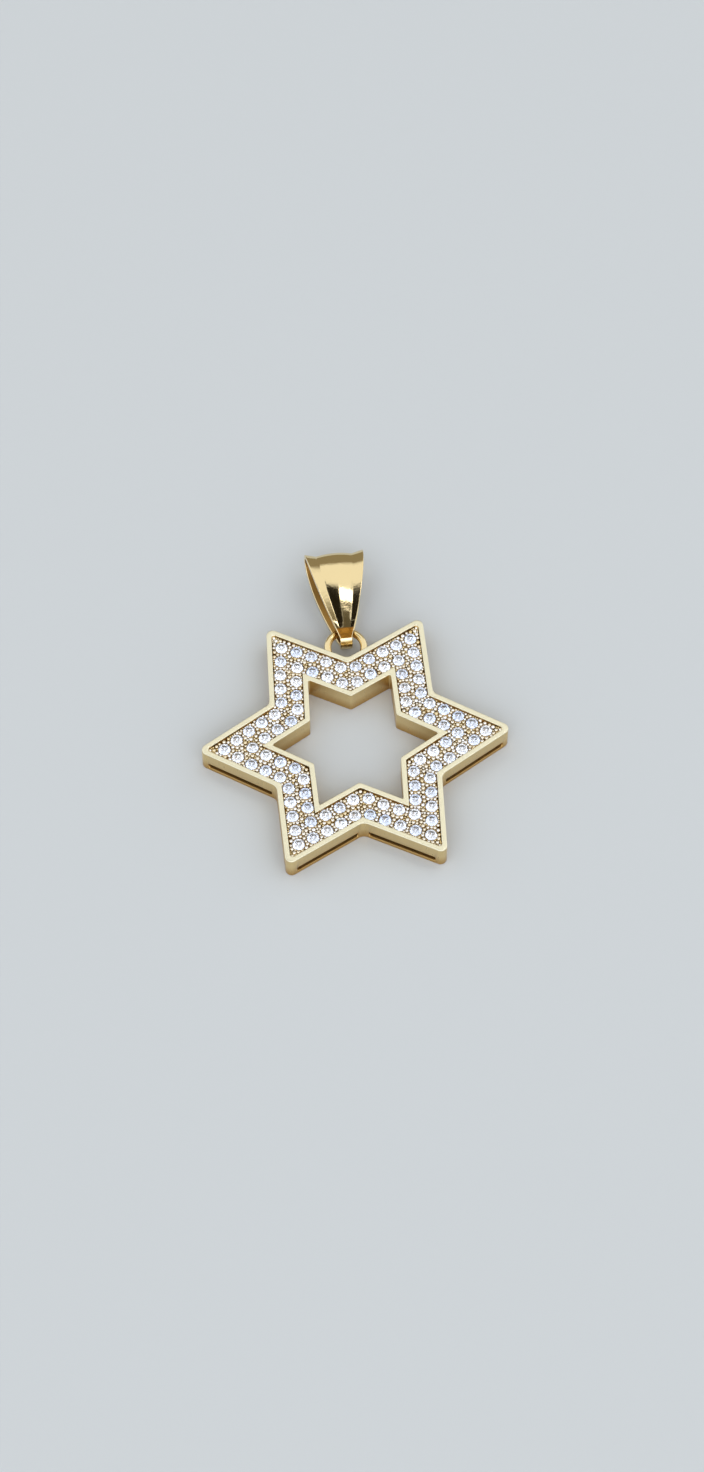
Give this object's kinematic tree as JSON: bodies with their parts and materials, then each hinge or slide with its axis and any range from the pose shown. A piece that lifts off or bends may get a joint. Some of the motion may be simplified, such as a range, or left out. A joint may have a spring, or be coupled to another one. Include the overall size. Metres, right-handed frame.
{
  "type": "star of david pendant",
  "caption": "Star of David pendant with a pierced gold body, small pave stones set between raised rims, a soldered ring and a tapered bail that swings on it.",
  "frame": {"origin": "centre of the star on its back plane, the face that it lies on", "axes": "+Z out of the star's face, +Y from the star's centre towards the ring and the bail, +X to the right seen from the front"},
  "size_m": [0.027, 0.0315, 0.0037],
  "materials": {
    "satin_gold": "satin yellow gold, finely brushed on the rims and walls",
    "clear_stone": "polished, faceted",
    "polished_gold": "highly polished yellow gold"
  },
  "bodies": {
    "star": {"star_frame": "satin_gold", "stones": "clear_stone"},
    "bail": {"bail": "polished_gold"}
  },
  "joints": [
    {"name": "bail_swing", "type": "hinge", "parent": "star", "child": "bail", "pos_m": [0, 0.01177, 0.00131], "axis": [1, 0, 0], "range_deg": [-100, 100]}
  ]
}
